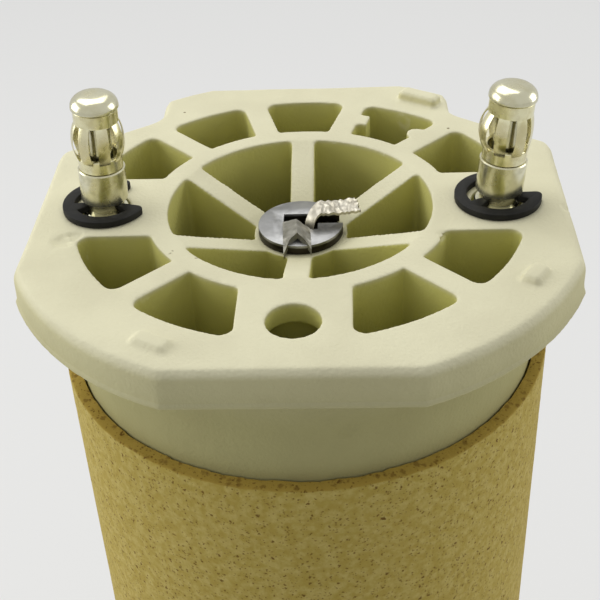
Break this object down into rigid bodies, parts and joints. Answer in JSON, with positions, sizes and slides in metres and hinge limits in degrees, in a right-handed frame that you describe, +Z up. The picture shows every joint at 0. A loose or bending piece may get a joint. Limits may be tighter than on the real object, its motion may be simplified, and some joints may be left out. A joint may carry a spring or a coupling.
{
  "type": "hot air heating element",
  "caption": "Round ceramic head with air cells and two sprung plug pins, on a sleeved ceramic core that carries coiled heater wire.",
  "frame": {"origin": "middle of the sleeve's foot, on the surface that it stands on", "axes": "+Z up along the core from the foot to the pins, +X from the left pin to the right pin, +Y away from the spare terminal hole"},
  "size_m": [0.0464, 0.0464, 0.1114],
  "materials": {
    "head_ceramic": "matt fired cordierite, ivory",
    "core_ceramic": "matt fired ceramic, off-white",
    "fibre_sleeve": "matt pressed mineral fibre, tan with brown speckles",
    "heater_wire": "oxidised heater alloy",
    "plated_pin": "bright nickel plate",
    "spring_metal": "bright nickel plate on bronze",
    "blackened_clip": "phosphated spring steel",
    "crimp_metal": "plain nickel",
    "washer_steel": "dull steel",
    "strap_steel": "bright steel strip, bent and scuffed"
  },
  "bodies": {
    "root": {"ceramic_head": "head_ceramic", "outer_sleeve": "fibre_sleeve", "core_block_1": "core_ceramic", "core_block_2": "core_ceramic", "foot_plate": "core_ceramic", "heater_winding_front": "heater_wire", "heater_winding_back": "heater_wire", "terminal_pin_left": "plated_pin", "terminal_pin_right": "plated_pin", "contact_spring_left": "spring_metal", "contact_spring_right": "spring_metal", "retaining_clip_left": "blackened_clip", "retaining_clip_right": "blackened_clip", "crimp_left": "crimp_metal", "crimp_right": "crimp_metal", "hub_washer": "washer_steel", "foot_washer": "washer_steel", "tie_strap": "strap_steel"}
  },
  "joints": []
}
